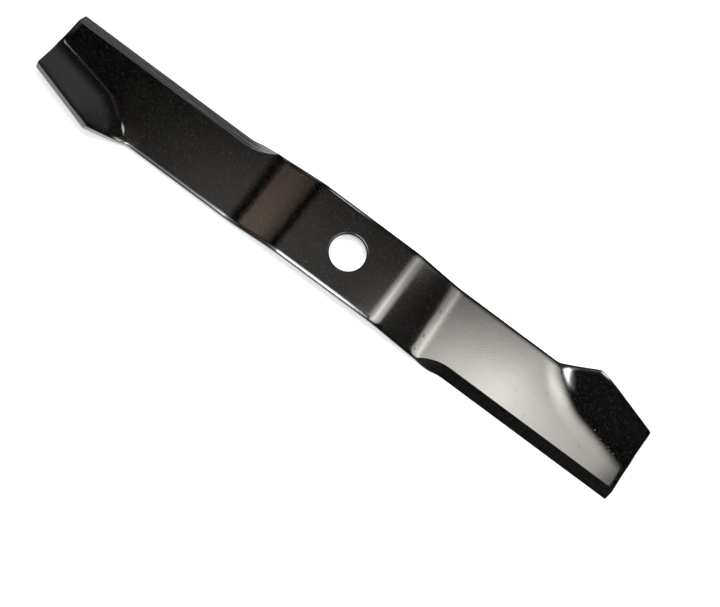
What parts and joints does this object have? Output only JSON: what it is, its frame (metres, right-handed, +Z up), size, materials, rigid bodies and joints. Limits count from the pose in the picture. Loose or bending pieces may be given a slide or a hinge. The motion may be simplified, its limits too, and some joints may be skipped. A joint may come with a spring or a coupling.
{
  "type": "rotary mower blade",
  "caption": "Flat steel mower blade with a raised, drilled centre, a ground cutting edge on each wing and a curved sail turned up behind it to lift and throw the cut grass.",
  "frame": {"origin": "on the axis of the mounting hole, in the plane on which the undersides of the wings lie", "axes": "+X along the blade, +Z up along the mounting hole towards the side the sails are turned to, and the cutting edge of the +X wing on its -Y side"},
  "size_m": [0.514, 0.0874, 0.0219],
  "materials": {
    "black_paint": "gloss"
  },
  "bodies": {
    "root": {"blade": "black_paint"}
  },
  "joints": []
}
